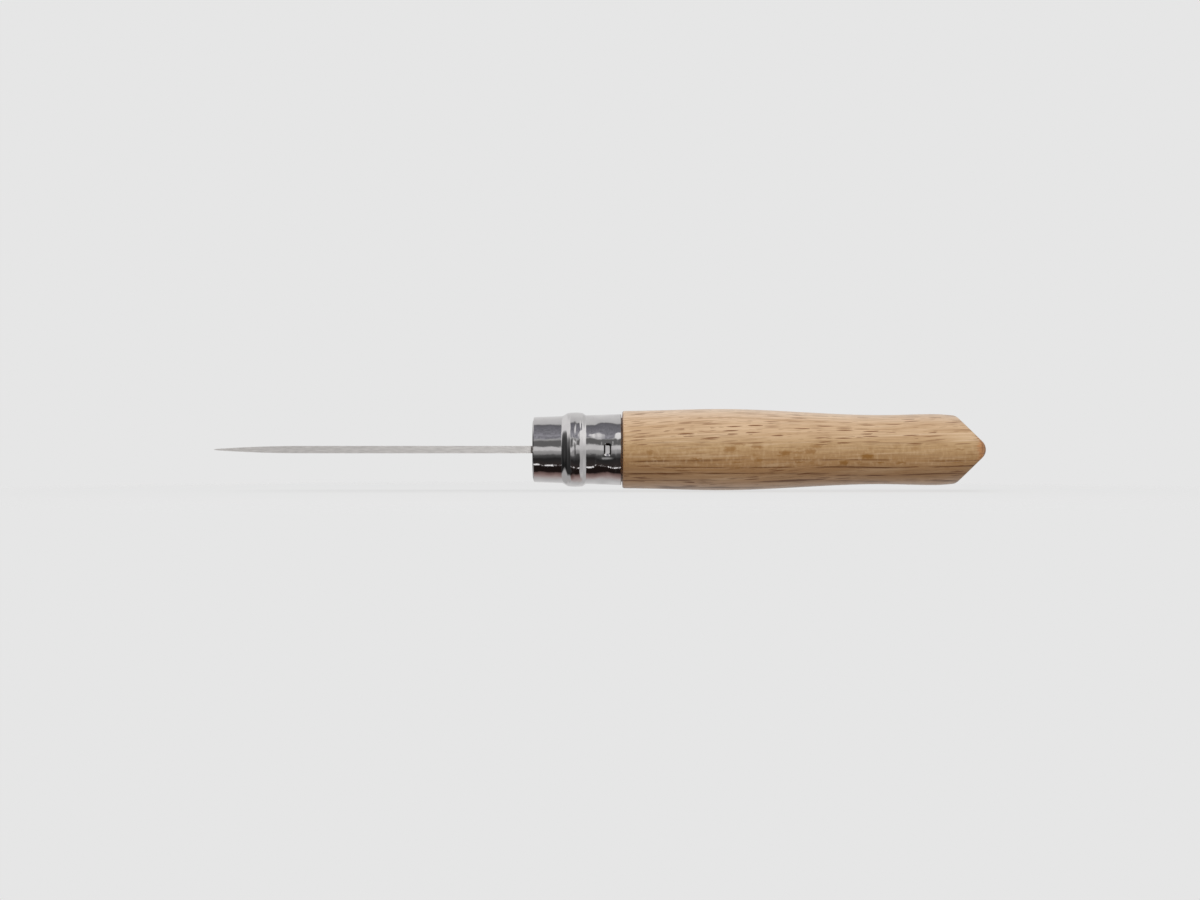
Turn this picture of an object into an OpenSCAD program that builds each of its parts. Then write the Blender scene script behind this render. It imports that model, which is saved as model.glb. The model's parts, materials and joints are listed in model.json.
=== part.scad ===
// Folding knife with a turning lock ring, lying open on its side.
// The blade points to -X, its back faces -Y and its edge faces +Y; +Z runs across the handle.
// A fixed steel collar sits on the front of a beech handle. The rivet goes through collar, wood and blade,
// and its two heads run in the bead of the lock ring, which keeps the ring on the collar.

/* [Blade] */
// Length of the blade in front of the lock ring
blade_len = 79.4; // [60:0.1:95]
// Thickness of the blade at its back
blade_t = 1.8; // [1.2:0.05:2.4]
// Thickness left at the cutting edge
edge_t = 0.2; // [0.1:0.05:0.4]
// Height of the back above the collar axis, next to the lock ring
back_h = 7.9; // [7:0.1:9]
// Further height of the back at its highest
back_rise = 1.2; // [0:0.1:2]
// Distance of the highest point of the back in front of the lock ring
back_crest = 28; // [20:0.5:36]
// Height of the point above the collar axis
tip_h = 3.6; // [1:0.1:5]
// Depth of the edge below the collar axis at the heel
heel_depth = 7.6; // [7.2:0.1:8]
// Depth of the edge below the collar axis at its deepest
edge_depth = 8.6; // [8:0.1:9]
// Distance of the deepest point of the edge in front of the lock ring
edge_crest = 28; // [20:0.5:36]
// Length of the rounded corners where the blade rises out of its tang
heel_len = 1.2; // [0.8:0.1:4]
// Height that the back loses in its rounded corner
heel_drop = 0.4; // [0.2:0.1:1.2]
// Height of the ground faces above the edge
grind_h = 12; // [8:0.1:14]
// Length over which the ground faces fade out at the heel
plunge_len = 9; // [4:0.5:14]

/* [Nail nick] */
// Length of the nail nick
nick_len = 18; // [10:0.5:24]
// Width of the nail nick
nick_w = 2.4; // [1.6:0.1:3.2]
// Depth of the nail nick at its upper edge
nick_depth = 0.5; // [0.3:0.05:0.6]
// Distance of the nick's upper edge below the back
nick_drop = 1.3; // [1:0.1:2.4]
// Distance of the nick's middle in front of the lock ring
nick_at = 30; // [22:0.5:38]

/* [Pivot] */
// Distance of the pivot behind the front of the lock ring
pivot_in = 10.8; // [10.4:0.05:11.2]
// Distance of the pivot from the collar axis, towards the edge
pivot_drop = 1.4; // [1:0.05:1.6]
// Turn of the blade from open to closed, in degrees
fold_turn = 179; // [176:0.5:180]
// Diameter of the rivet
rivet_d = 3; // [2.4:0.1:3.2]
// Diameter of the rivet heads
head_d = 3.6; // [3.4:0.1:4]

/* [Collar] */
// Wall of the fixed collar
collar_wall = 0.7; // [0.5:0.05:0.9]
// Length of the collar lip in front of the lock ring
collar_lip = 0.15; // [0.1:0.05:0.3]
// Distance of the wooden spigot behind the collar lip
spigot_in = 0.6; // [0.2:0.1:2]

/* [Lock ring] */
// Length of the lock ring
ring_len = 21.85; // [21:0.05:22.2]
// Outer diameter at the front of the lock ring
ring_front_d = 16.26; // [15.8:0.02:16.6]
// Outer diameter at the back of the lock ring
ring_rear_d = 17.8; // [17.4:0.02:18.2]
// Wall of the lock ring
ring_wall = 0.8; // [0.6:0.05:0.9]
// Outer diameter of the bead
bead_d = 18.6; // [18:0.05:18.8]
// Distance of the bead's crown behind the front of the lock ring
bead_at = 8.8; // [8.4:0.05:9.2]
// Length of the bead's crown
bead_len = 3.25; // [3:0.05:3.6]
// Height of the crown's middle above its two ends
bead_crown = 0.1; // [0:0.02:0.16]
// Length of the hollow slope in front of the crown
bead_rise = 1.85; // [1.4:0.05:2.4]
// Length of the slope behind the crown
bead_fall = 1.15; // [0.8:0.05:1.6]
// Bevel on the outer ends of the lock ring
ring_bevel = 0.15; // [0.1:0.05:0.35]
// Extra width of the ring's gap at the front, where one side is cut on the slant
gap_flare = 1.6; // [0:0.1:2.5]
// Rounding of the gap's front corners
gap_round = 0.8; // [0.3:0.1:1.5]
// Turn of the ring from free to locked, in degrees
lock_turn = 50; // [35:1:60]
// Distance of the stop lug behind the front of the lock ring
lug_at = 18.4; // [17:0.1:19]
// Width of the stop lug along the knife
lug_w = 1.9; // [1.5:0.1:2.2]
// Length of the stop lug round the ring
lug_len = 3.8; // [3.4:0.1:4.2]
// Depth of the dent that forms the stop lug
lug_depth = 0.5; // [0.4:0.05:0.6]
// Width of the dent's sloping walls at its sides
dent_wall = 0.45; // [0.2:0.05:0.6]
// Width of the dent's sloping walls at its ends
dent_end = 0.9; // [0.6:0.05:1.1]

/* [Handle] */
// Thickness at the front of the grip
shoulder_t = 19.4; // [18.8:0.1:20]
// Rounding of the front edge of the grip
shoulder_round = 0.4; // [0.2:0.1:1]
// Thickness at the swell
swell_t = 20.3; // [19.6:0.1:21]
// Height of the back at the swell
swell_back = 11.2; // [10:0.1:12]
// Depth of the belly at the swell
swell_belly = 10; // [9.4:0.1:10.6]
// Distance of the swell behind the front of the grip
swell_at = 24.5; // [18:0.5:30]
// Thickness at the waist
waist_t = 17.3; // [16:0.1:18.4]
// Height of the back at the waist
waist_back = 8.9; // [8.2:0.1:10]
// Depth of the belly at the waist
waist_belly = 9.3; // [8.6:0.1:10]
// Distance of the waist in front of the butt
waist_at = 27.7; // [24:0.1:32]
// Thickness at the tail
tail_t = 17.85; // [17:0.05:18.6]
// Distance of the tail in front of the butt
tail_at = 14; // [12:0.1:16]
// Thickness at the butt, inside the bevels
butt_t = 15; // [14:0.1:17]
// Height of the back at the butt
butt_back = 9.6; // [8.6:0.1:10.6]
// Depth of the belly at the butt
butt_belly = 12.6; // [11.6:0.1:13.6]
// Length of solid wood behind the blade slot
butt_wood = 11.5; // [9:0.1:18]
// Angle of each butt bevel to the knife's length, in degrees
butt_bevel = 45; // [40:1:60]
// Slant of the butt seen from the side, in degrees
butt_slant = 9; // [5:1:20]
// Rounding of the butt ridge
ridge_round = 2.7; // [1:0.1:4]
// Rounding of the butt's corners at the back and the belly
butt_round = 2.5; // [1:0.1:3.5]
// Rounding between the butt bevels and the sides
bevel_round = 4; // [1:0.5:7]
// Squareness of the grip's section: 2 is an ellipse
section_power = 2.3; // [2:0.05:2.6]
// Radius of the saw that cuts the end of the blade slot
saw_r = 40; // [34:1:55]

/* [Fits] */
// Room beside the blade in its slot, each side
slot_room = 0.25; // [0.15:0.05:0.4]
// Room between the ring's gap and the blade slot, each side
gap_room = 0.6; // [0.4:0.05:1]
// Room between the lock ring and the collar
ring_room = 0.1; // [0.06:0.02:0.14]
// Room between the collar and the wood
wood_room = 0.02; // [0.02:0.01:0.06]
// Room round the rivet in the blade
pivot_room = 0.05; // [0.02:0.01:0.1]
// Room between the tang or the rivet heads and the lock ring
tang_room = 0.25; // [0.2:0.05:0.3]
// Room between the folded blade and the wood
fold_room = 0.35; // [0.3:0.05:0.6]
// Room in front of the folded point
tip_room = 2; // [1:0.1:4]
// Room between the lock ring and the grip
grip_room = 0.25; // [0.2:0.05:0.5]
// Room between the stop lug and its window in the collar
lug_room = 0.25; // [0.15:0.05:0.4]

/* [Hidden] */

// Smoothness: facets of a circle, and stations along and round the lofted pieces and the fillets
$fn = 96;
BLADE_STEPS = 42;
BLADE_SIDE = 9;
HEEL_STEPS = 3;
GRIP_STEPS = 34;
GRIP_AROUND = 48;
ROUND_STEPS = 3;
ARC_STEPS = 8;

// How far a cut runs past the face that it opens, and a piece into the one that it joins
PAST = 1;
// Small step that keeps two cuts from lying in one face
SKIM = 0.02;
// Curves: hollow of the back's clip, sweep of the edge to the point, and fullness of the ground faces
CLIP_CURVE = 2.2;
SWEEP_CURVE = 2.6;
GRIND_CURVE = 1.6;
// Share of the dent's floor that its rounded corners take
DENT_CORNER = 0.6;
// How strongly the blade's stations crowd together towards the point
TIP_CROWDING = 1.3;

// Lengthwise places, from the pivot
ring_front = -pivot_in;
ring_rear = ring_len - pivot_in;
collar_front = ring_front - collar_lip;
grip_front = ring_rear + grip_room;
spigot_front = collar_front + spigot_in;
tip_reach = pivot_in + blade_len;
heel_reach = max(pivot_in + collar_lip, ring_rear) + tang_room;
back_crest_reach = pivot_in + back_crest;
edge_crest_reach = pivot_in + edge_crest;
butt_end = tip_reach + tip_room + butt_wood;
// Longer than any cut has to be
cut_reach = butt_end;
swell_x = grip_front + swell_at;
waist_x = butt_end - waist_at;
tail_x = butt_end - tail_at;

// Lift of the closed blade for each millimetre behind the pivot
fold_lift = sin(180 - fold_turn);

// Radii of the ring, the collar and the spigot: all are cones with the ring's slope
ring_slope = (ring_rear_d - ring_front_d) / 2 / ring_len;
function ring_cone(x) = ring_front_d / 2 + ring_slope * (x - ring_front);
function ring_bore(x) = ring_cone(x) - ring_wall;
function collar_out(x) = ring_bore(x) - ring_room;
function collar_in(x) = collar_out(x) - collar_wall;
function spigot_out(x) = collar_in(x) - wood_room;

// The tang stays inside the ring both when the blade is open and when it is closed
function chord_h(r) = sqrt(r * r - blade_t * blade_t / 4);
tang_depth = chord_h(ring_bore(ring_front) - tang_room);
tang_back = chord_h(ring_bore(ring_rear) - tang_room) - 2 * pivot_drop - fold_lift * heel_reach;
tang_r = tang_depth - pivot_drop;

// The blade slot
slot_w = blade_t + 2 * slot_room;
fold_edge = edge_depth - 2 * pivot_drop - fold_lift * edge_crest_reach;
slot_floor = max(fold_edge, tang_r - pivot_drop) + fold_room;
fold_tip = 2 * pivot_drop + tip_h + fold_lift * tip_reach;
saw_y = saw_r - slot_floor;
saw_x = tip_reach + tip_room - sqrt(pow(saw_r, 2) - pow(saw_y - fold_tip, 2));

// Rivet heads
rivet_r = rivet_d / 2;
head_r = head_d / 2;
head_top = sqrt(pow(bead_d / 2 - ring_wall - tang_room, 2) - pow(pivot_drop, 2));
head_rim = sqrt(pow(collar_out(0), 2) - pow(pivot_drop, 2));
head_rise = head_top - head_rim;
head_ball = (head_r * head_r + head_rise * head_rise) / 2 / head_rise;

// Stop lug of the ring and its window in the collar
lug_x = ring_front + lug_at;
lug_root = ring_bore(lug_x) + ring_wall / 2;
lug_tip = ring_bore(lug_x) - lug_depth;
lug_inner_w = lug_w - 2 * lug_room;
lug_inner_len = lug_len - 2 * lug_room;
lug_half_turn = atan((lug_inner_len / 2 + lug_room) / lug_tip);

// The origin is under the middle of the open knife's box, on the surface that it lies on
middle_x = (butt_end - tip_reach) / 2;
middle_y = (butt_belly - swell_back) / 2;
rest_z = max(swell_t, shoulder_t, bead_d) / 2;

// Smooth step from 0 to 1, level at both ends
function ease(t) = let (s = min(max(t, 0), 1)) s * s * (3 - 2 * s);
function blend(a, b, t) = a + (b - a) * t;

// Value at x on a smooth line through [x, value] stations, level at each station
function through(stations, x, i = 0) =
    i == len(stations) - 2 || x < stations[i + 1][0]
        ? let (a = stations[i], b = stations[i + 1])
          blend(a[1], b[1], ease((x - a[0]) / (b[0] - a[0])))
        : through(stations, x, i + 1);

// Points of a rounded corner at p, where one side runs off at angle a and the other at angle b
function fillet(p, a, b, r) =
    let (half = (b - a) / 2)
    let (centre = p + r / sin(half) * [cos(a + half), sin(a + half)])
    [for (i = [0:ARC_STEPS]) centre + r * [cos(blend(a - 90, b + 90 - 360, i / ARC_STEPS)),
                                           sin(blend(a - 90, b + 90 - 360, i / ARC_STEPS))]];

// Triangles of a skin over rings of equally many points, open at both ends
function skin_faces(rings, around) =
    [for (i = [0:rings - 2], j = [0:around - 1])
        let (a = i * around + j, b = i * around + (j + 1) % around)
        each [[a, b, b + around], [a, b + around, a + around]]];

// Puts a shape that is drawn round the pivot into the knife's frame
module placed() {
    translate([-middle_x, -middle_y, rest_z])
        children();
}

// Turns an outline of [radius, x] points about the collar axis
module turned(points, start = 0, turn = 360) {
    rotate([0, 90, 0])
        rotate([0, 0, start])
            rotate_extrude(angle = turn)
                polygon(points);
}

// Round bar across the knife at the pivot
module across(r, half_len) {
    translate([0, pivot_drop, -half_len])
        cylinder(r = r, h = 2 * half_len);
}

// Saw kerf that takes the tang and the folded blade
module blade_slot() {
    linear_extrude(slot_w, center = true) {
        translate([collar_front - PAST, -slot_floor])
            square([saw_x - collar_front + PAST, cut_reach]);
        intersection() {
            translate([saw_x, saw_y])
                circle(saw_r, $fn = 180);
            translate([saw_x - SKIM, -slot_floor])
                square([cut_reach, cut_reach]);
        }
    }
}

// Half-size and middle of the grip's section at x
function grip_half_t(x) = through([[grip_front, shoulder_t / 2], [swell_x, swell_t / 2],
    [waist_x, waist_t / 2], [tail_x, tail_t / 2], [butt_end, butt_t / 2]], x);
function grip_back(x) = through([[grip_front, shoulder_t / 2], [swell_x, swell_back],
    [waist_x, waist_back], [butt_end, butt_back]], x);
function grip_belly(x) = through([[grip_front, shoulder_t / 2], [swell_x, swell_belly],
    [waist_x, waist_belly], [butt_end - butt_round, butt_belly]], x);
function grip_power(x) = through([[grip_front, 2], [swell_x, section_power]], x);
function rounded_by(x) =
    let (inset = max(shoulder_round - (x - grip_front), 0))
    shoulder_round - sqrt(shoulder_round * shoulder_round - inset * inset);
function section_wave(c, power) = sign(c) * pow(abs(c), 2 / power);

function grip_ring(x) =
    let (half_t = grip_half_t(x) - rounded_by(x))
    let (half_h = (grip_back(x) + grip_belly(x)) / 2 - rounded_by(x))
    let (mid_y = (grip_belly(x) - grip_back(x)) / 2)
    let (power = grip_power(x))
    [for (j = [0:GRIP_AROUND - 1]) let (a = -j * 360 / GRIP_AROUND)
        [x, mid_y + half_h * section_wave(cos(a), power), half_t * section_wave(sin(a), power)]];

module grip() {
    stations = concat(
        [for (i = [0:ROUND_STEPS]) grip_front + shoulder_round * (1 - cos(i * 90 / ROUND_STEPS))],
        [for (i = [1:GRIP_STEPS]) blend(grip_front + shoulder_round, butt_end + PAST, i / GRIP_STEPS)]
    );
    last = (len(stations) - 1) * GRIP_AROUND;
    polyhedron(
        points = [for (x = stations) each grip_ring(x)],
        faces = concat(
            [[for (j = [GRIP_AROUND - 1:-1:0]) j]],
            skin_faces(len(stations), GRIP_AROUND),
            [[for (j = [0:GRIP_AROUND - 1]) last + j]]
        )
    );
}

// The butt's ridge runs on a slant, at this distance from the pivot, and ends in two rounded corners
ridge = butt_round + (butt_end - butt_round) * cos(butt_slant)
    - (butt_belly - butt_round) * sin(butt_slant);
function ridge_x(y) = (ridge + SKIM + y * sin(butt_slant)) / cos(butt_slant);

// Keeps what lies between the sides and behind them the two bevels, which meet in a rounded ridge
module butt_bevels() {
    sharp = ridge + ridge_round * (1 / sin(butt_bevel) - 1);
    side = tail_t / 2 + SKIM;
    corner = sharp - side / tan(butt_bevel);
    open_x = waist_x * cos(butt_slant);
    rotate([0, 0, -butt_slant])
        rotate([90, 0, 0])
            linear_extrude(2 * cut_reach, center = true)
                polygon(concat(
                    fillet([sharp, 0], 180 - butt_bevel, 180 + butt_bevel, ridge_round),
                    fillet([corner, -side], butt_bevel, 180, bevel_round),
                    [[open_x, -side], [open_x, -cut_reach], [-cut_reach, -cut_reach]],
                    [[-cut_reach, cut_reach], [open_x, cut_reach], [open_x, side]],
                    fillet([corner, side], 180, 360 - butt_bevel, bevel_round)
                ));
}

// Keeps what lies inside the butt's side view
module butt_profile() {
    back = butt_back + SKIM;
    belly = butt_belly + SKIM;
    linear_extrude(2 * cut_reach, center = true)
        polygon(concat(
            fillet([ridge_x(belly), belly], 180, 270 - butt_slant, butt_round),
            fillet([ridge_x(-back), -back], 90 - butt_slant, 180, butt_round),
            [[waist_x, -back], [waist_x, -cut_reach], [-cut_reach, -cut_reach]],
            [[-cut_reach, cut_reach], [waist_x, cut_reach], [waist_x, belly]]
        ));
}

module handle() {
    color("burlywood")
        placed()
            difference() {
                union() {
                    intersection() {
                        grip();
                        butt_bevels();
                        butt_profile();
                    }
                    turned([
                        [0, spigot_front],
                        [spigot_out(spigot_front), spigot_front],
                        [spigot_out(grip_front), grip_front],
                        [spigot_out(grip_front), grip_front + PAST],
                        [0, grip_front + PAST]
                    ]);
                }
                blade_slot();
                across(rivet_r, cut_reach);
            }
}

// Solid inside of the fixed collar's outer face
module collar_core() {
    turned([[0, collar_front], [collar_out(collar_front), collar_front],
            [collar_out(grip_front), grip_front], [0, grip_front]]);
}

module fixed_collar() {
    color("gainsboro")
        placed()
            difference() {
                turned([
                    [collar_in(collar_front), collar_front],
                    [collar_out(collar_front), collar_front],
                    [collar_out(grip_front), grip_front],
                    [collar_in(grip_front), grip_front]
                ]);
                blade_slot();
                across(rivet_r, cut_reach);
                turned(
                    [[spigot_out(lug_x) - PAST, lug_x - lug_w / 2],
                     [ring_cone(lug_x) + PAST, lug_x - lug_w / 2],
                     [ring_cone(lug_x) + PAST, lug_x + lug_w / 2],
                     [spigot_out(lug_x) - PAST, lug_x + lug_w / 2]],
                    270 - lug_half_turn,
                    lock_turn + 2 * lug_half_turn
                );
            }
}

// Outline of the lock ring's outside, from front to back
bead_front = ring_front + bead_at;
bead_rear = bead_front + bead_len;
function bead_share(x) =
    ease((x - bead_front + bead_rise) / bead_rise) * ease((bead_rear + bead_fall - x) / bead_fall);
bead_middle = (bead_front + bead_rear) / 2;
function crown_fall(x) = bead_crown * min(pow((x - bead_middle) / (bead_len / 2), 2), 1);
function ring_out(x) = blend(ring_cone(x), bead_d / 2 - crown_fall(x), bead_share(x));
function ring_in(x) = blend(ring_cone(x), bead_d / 2, bead_share(x)) - ring_wall;
ring_places = concat(
    [ring_front + ring_bevel],
    [for (i = [0:ARC_STEPS]) bead_front - bead_rise * (1 - i / ARC_STEPS)],
    [for (i = [1:ARC_STEPS - 1]) bead_front + bead_len * i / ARC_STEPS],
    [for (i = [0:ARC_STEPS]) bead_rear + bead_fall * i / ARC_STEPS],
    [ring_rear - ring_bevel]
);

// Gap of the ring: one side straight, the other on the slant, with rounded corners at the front
module ring_gap() {
    half = slot_w / 2 + gap_room;
    wide = half + gap_flare;
    lean = atan(gap_flare / ring_len);
    polygon(concat(
        [[ring_rear + PAST, half]],
        fillet([ring_front, half], 0, 90, gap_round),
        [[ring_front - PAST, half + gap_round], [ring_front - PAST, -wide - gap_round]],
        fillet([ring_front, -wide], 270, 360 + lean, gap_round),
        [[ring_rear + PAST, PAST * tan(lean) - half]]
    ));
}

// Oblong dent with sloping walls, drawn upwards from its floor
module dent() {
    floor_w = lug_w - 2 * dent_wall;
    floor_len = lug_len - 2 * dent_end;
    corner = DENT_CORNER * floor_w / 2;
    hull() {
        linear_extrude(SKIM)
            offset(corner)
                square([floor_w - 2 * corner, floor_len - 2 * corner], center = true);
        translate([0, 0, lug_depth])
            linear_extrude(PAST)
                offset(corner + dent_wall)
                    square([floor_w - 2 * corner, lug_len - 2 * (corner + dent_wall)],
                           center = true);
    }
}

module lock_ring() {
    color("silver")
        placed()
            difference() {
                union() {
                    difference() {
                        turned(concat(
                            [[ring_bore(ring_front), ring_front],
                             [ring_cone(ring_front) - ring_bevel, ring_front]],
                            [for (x = ring_places) [ring_out(x), x]],
                            [[ring_cone(ring_rear) - ring_bevel, ring_rear],
                             [ring_bore(ring_rear), ring_rear]],
                            [for (i = [len(ring_places) - 2:-1:1])
                                [ring_in(ring_places[i]), ring_places[i]]]
                        ));
                        rotate([90, 0, 0])
                            translate([0, 0, -cut_reach])
                                linear_extrude(cut_reach)
                                    ring_gap();
                    }
                    translate([lug_x - lug_inner_w / 2, -lug_root, -lug_inner_len / 2])
                        cube([lug_inner_w, lug_root - lug_tip, lug_inner_len]);
                }
                rotate([90, 0, 0])
                    translate([lug_x, 0, ring_cone(lug_x) - lug_depth])
                        dent();
            }
}

// Height of the blade's back and depth of its edge, at a distance in front of the pivot
function back_line(d) =
    d < back_crest_reach
        ? back_h - heel_drop * (1 - ease((d - heel_reach) / heel_len))
          + back_rise * ease((d - heel_reach) / (back_crest_reach - heel_reach))
        : let (s = (d - back_crest_reach) / (tip_reach - back_crest_reach))
          blend(back_h + back_rise, tip_h, s * s * (CLIP_CURVE - (CLIP_CURVE - 1) * s));
function edge_line(d) =
    d < edge_crest_reach
        ? blend(tang_depth, heel_depth, ease((d - heel_reach) / heel_len))
          + (edge_depth - heel_depth) * ease((d - heel_reach) / (edge_crest_reach - heel_reach))
        : let (s = (d - edge_crest_reach) / (tip_reach - edge_crest_reach))
          blend(edge_depth, -tip_h, pow(s, SWEEP_CURVE));

// Half-thickness of the blade at a height above its edge
function ground(h) = blend(blade_t, edge_t, pow(1 - min(h / grind_h, 1), GRIND_CURVE)) / 2;
function blade_half(d, h) = blend(blade_t / 2, ground(h), ease((d - heel_reach) / plunge_len));

function blade_ring(d) =
    let (top = back_line(d), tall = top + edge_line(d))
    let (side = [for (j = [0:BLADE_SIDE - 1]) tall * j / (BLADE_SIDE - 1)])
    concat(
        [for (h = side) [-d, tall - top - h, blade_half(d, h)]],
        [for (j = [BLADE_SIDE - 1:-1:0]) [-d, tall - top - side[j], -blade_half(d, side[j])]]
    );

module ground_blade() {
    stations = concat(
        [for (i = [0:HEEL_STEPS]) heel_reach + heel_len * i / HEEL_STEPS],
        [for (i = [1:BLADE_STEPS])
            blend(heel_reach + heel_len, tip_reach, 1 - pow(1 - i / BLADE_STEPS, TIP_CROWDING))]
    );
    rings = len(stations) - 1;
    around = 2 * BLADE_SIDE;
    tip = rings * around;
    polyhedron(
        points = concat(
            [for (i = [0:rings - 1]) each blade_ring(stations[i])],
            [[-tip_reach, -tip_h, 0]]
        ),
        faces = concat(
            [for (j = [0:BLADE_SIDE - 2])
                each [[j + 1, j, around - 1 - j], [j + 1, around - 1 - j, around - 2 - j]]],
            skin_faces(rings, around),
            [for (j = [0:around - 1]) [tip - around + j, tip - around + (j + 1) % around, tip]]
        )
    );
}

// Flat tang, round behind the pivot, with its front end inside the blade
module tang() {
    front = -heel_reach - PAST;
    reach = norm([front, tang_back + pivot_drop]);
    lean = atan2(-tang_back - pivot_drop, front) + acos(tang_r / reach);
    linear_extrude(blade_t, center = true) {
        polygon([
            [front, -tang_back],
            tang_r * [cos(lean), sin(lean)] + [0, pivot_drop],
            [0, pivot_drop],
            [0, tang_depth],
            [front, tang_depth]
        ]);
        translate([0, pivot_drop])
            circle(tang_r);
    }
}

// Thumbnail groove on the lower face, cut by a disc with a tilted axis: deepest at its upper edge
module nail_nick() {
    nick_x = -pivot_in - nick_at;
    disc_r = (nick_len * nick_len / 4 + nick_depth * nick_depth) / 2 / nick_depth;
    translate([nick_x, -back_line(-nick_x) + nick_drop, -blade_t / 2 + nick_depth])
        rotate([-90 - atan(nick_depth / nick_w), 0, 0])
            translate([0, disc_r, 0])
                cylinder(r = disc_r, h = 2 * nick_w, $fn = 360);
}

module blade() {
    color("lightgray")
        placed()
            difference() {
                union() {
                    ground_blade();
                    tang();
                }
                across(rivet_r + pivot_room, cut_reach);
                nail_nick();
            }
}

module pivot_rivet() {
    color("lightsteelblue")
        placed() {
            across(rivet_r, head_rim);
            for (side = [-1, 1])
                difference() {
                    intersection() {
                        translate([0, pivot_drop, side * (head_top - head_ball)])
                            sphere(head_ball);
                        across(head_r, cut_reach);
                        translate([-cut_reach, -cut_reach, side > 0 ? 0 : -cut_reach])
                            cube([2 * cut_reach, 2 * cut_reach, cut_reach]);
                    }
                    collar_core();
                }
        }
}

handle();
fixed_collar();
lock_ring();
blade();
pivot_rivet();
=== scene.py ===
import json
import math

import bmesh
import bpy
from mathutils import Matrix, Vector


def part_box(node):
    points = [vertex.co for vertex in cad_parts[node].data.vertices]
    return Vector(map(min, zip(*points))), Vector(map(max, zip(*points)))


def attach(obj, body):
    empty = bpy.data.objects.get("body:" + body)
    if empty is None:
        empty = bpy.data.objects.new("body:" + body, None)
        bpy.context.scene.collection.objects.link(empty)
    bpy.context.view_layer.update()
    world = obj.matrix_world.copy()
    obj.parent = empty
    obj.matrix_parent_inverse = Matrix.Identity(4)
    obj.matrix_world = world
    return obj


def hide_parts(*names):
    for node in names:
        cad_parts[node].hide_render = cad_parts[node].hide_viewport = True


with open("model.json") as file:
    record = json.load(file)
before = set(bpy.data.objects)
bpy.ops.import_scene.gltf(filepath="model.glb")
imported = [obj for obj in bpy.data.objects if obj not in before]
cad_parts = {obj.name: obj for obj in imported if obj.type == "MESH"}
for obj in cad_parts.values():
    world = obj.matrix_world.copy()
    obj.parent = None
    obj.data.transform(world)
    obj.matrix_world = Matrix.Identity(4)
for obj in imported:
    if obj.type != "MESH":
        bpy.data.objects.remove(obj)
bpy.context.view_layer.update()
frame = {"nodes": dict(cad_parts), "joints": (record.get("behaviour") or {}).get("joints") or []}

# The folding knife's looks: beech handle, mirror-polished lock ring and satin blade.
# Lengths are in metres unless a name ends in _MM, angles in degrees.

MM = 1000.0
joints = {joint["name"]: joint for joint in frame["joints"]}
AXIS = Vector(joints["ring_turn"]["pos_m"])

# Camera: level with the knife, looking at the blade's back
IMAGE_PIXELS = 1200
PIXELS_PER_MM = 4.0
CAMERA_TO_AXIS = 0.55
SENSOR_MM = 36.0
AIM_BEHIND_PIVOT = 0.00575
AIM_BELOW_AXIS = 0.0001

# Stage: a pale floor that fades out with distance, the share of its shading that is seen,
# and the even light from all round
PALE = 0.791
FLOOR_SIZE = 0.7
FLOOR_CLEAR = 0.0003
FLOOR_FADE = (0.11, 0.2)
FLOOR_SHARE = 0.16
AMBIENT = 0.32
AMBIENT_BELOW = 0.75

# Soft lamps: distance and size, then each one's angle above the line of sight and its power
LAMP_AWAY = 0.9
LAMP_W = 0.9
LAMP_H = 0.5
KEY_ANGLE = 38.0
KEY_WATTS = 7.0
REAR_ANGLE = 130.0
REAR_WATTS = 2.0

# Meshes: closer points are welded, sharper edges stay sharp, and wood is sanded
WELD_MM = 0.002
SMOOTH_ANGLE = 27.0
SANDED_VOXEL_MM = 0.28
SANDED_FACTOR = 0.5
SANDED_PASSES = 5

# Beech: the fibres run along X and rise towards the butt, the rays run along Z with a small tilt.
# A year's growth, how far its lines wander, the stretch of it that is late wood, and the grip's radius
FIBRE_RISE = 2.0
RAY_TILT = 9.0
GROWTH_MM = 1.6
GROWTH_WANDER_YEARS = 1.4
LATE_WOOD_YEARS = ((0.66, 0.93), (1.0, 0.95))
GRIP_R_MM = 9.5

# Heights above the collar axis between which pale streaks, and dark growth lines, come into full view
PALE_STREAKS_MM = (-5.0, 2.0)
DARK_GROWTH_MM = (-0.5, -4.0)

# Cells of the beech's marks along the grain, round the handle and out from its axis,
# and half sizes of the marks that fill a cell in part
CLOUD_MM = (26, 2.4, 5)
STREAK_MM = (18, 0.6, 4)
FIBRE_MM = (7, 0.26, 2)
GROWTH_BREAK_MM = (9, 1.2, 4)
RAY_CROWD_MM = (14, 3, 5)
DASH_CELL_MM = (5.6, 0.9, 4.0)
DASH_HALF_MM = (2.4, 0.18, 3.0)
SPECK_CELL_MM = (2.4, 0.6, 4.0)
SPECK_HALF_MM = (0.9, 0.08, 3.0)

# The same along X, Y and Z, and how far the grain wanders and the flakes' rims stray
WANDER_CELL_MM = (40, 14, 14)
WANDER_MM = (0.0, 1.0, 1.6)
GROWTH_CELL_MM = (55, 8, 3)
FLAKE_CELL_MM = (6.6, 9.0, 2.4)
FLAKE_HALF_MM = (1.9, 9.0, 1.0)
SLIVER_CELL_MM = (5.0, 9.0, 1.1)
SLIVER_HALF_MM = (1.9, 9.0, 0.3)
RAGGED_CELL_MM = (0.8, 0.8, 0.6)
RAGGED_MM = (1.6, 0.0, 0.8)
TICK_MM = (0.8, 9.0, 1.6)
PORE_MM = (1.6, 0.3, 0.3)
PORE_WEAR_MM = 0.8
END_RAY_MM = (3.0, 0.2, 3.5)
END_PORE_MM = (2.0, 0.12, 0.12)
GRAIN_DEPTH_MM = 0.04

# Cosines between which a bevel, end grain or flakes begin to show and are in full view
BEVEL_FACING = (0.35, 0.6)
END_FACING = (0.7, 0.85)
FLAKE_FACING = (0.955, 0.99)

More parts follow.
